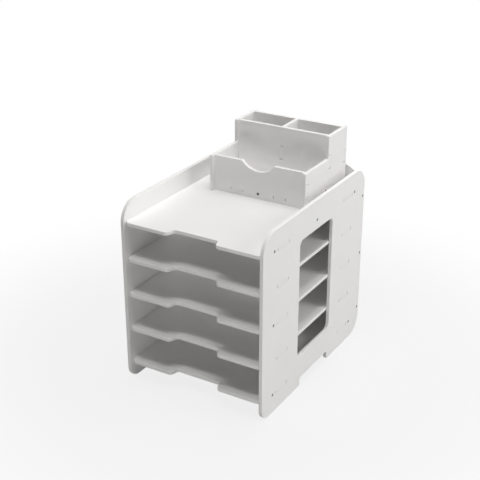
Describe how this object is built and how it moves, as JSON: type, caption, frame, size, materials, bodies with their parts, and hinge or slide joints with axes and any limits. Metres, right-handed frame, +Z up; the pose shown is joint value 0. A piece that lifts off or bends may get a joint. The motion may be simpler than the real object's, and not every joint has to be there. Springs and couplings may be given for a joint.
{
  "type": "desktop document rack",
  "caption": "Open-fronted rack of white boards with shelves for A4 papers laid flat, windowed side panels and a loose two-tier pen box on its deck.",
  "frame": {"origin": "on the desk surface, under the middle of the rack's width and depth", "axes": "+X to the right seen from the open front, +Y from the front to the back panel, +Z up"},
  "size_m": [0.26, 0.355, 0.391],
  "materials": {
    "white_board": "satin",
    "screw_steel": "dark zinc plated"
  },
  "bodies": {
    "rack": {"side_panel_left": "white_board", "side_panel_right": "white_board", "deck_panel": "white_board", "shelf_upper": "white_board", "shelf_middle": "white_board", "shelf_lower": "white_board", "shelf_bottom": "white_board", "back_panel": "white_board", "deck_screws": "screw_steel", "middle_shelf_screws": "screw_steel", "bottom_shelf_screws": "screw_steel", "back_panel_screws": "screw_steel"},
    "pen_box": {"box_side_left": "white_board", "box_side_right": "white_board", "box_front_wall": "white_board", "box_middle_wall": "white_board", "box_back_wall": "white_board", "box_divider": "white_board", "box_base": "white_board", "box_base_screws": "screw_steel", "box_side_screws": "screw_steel"}
  },
  "joints": [
    {"name": "pen_box_lift", "type": "slide", "parent": "rack", "child": "pen_box", "axis": [0, 0, 1], "range_m": [0, 0.08]}
  ]
}
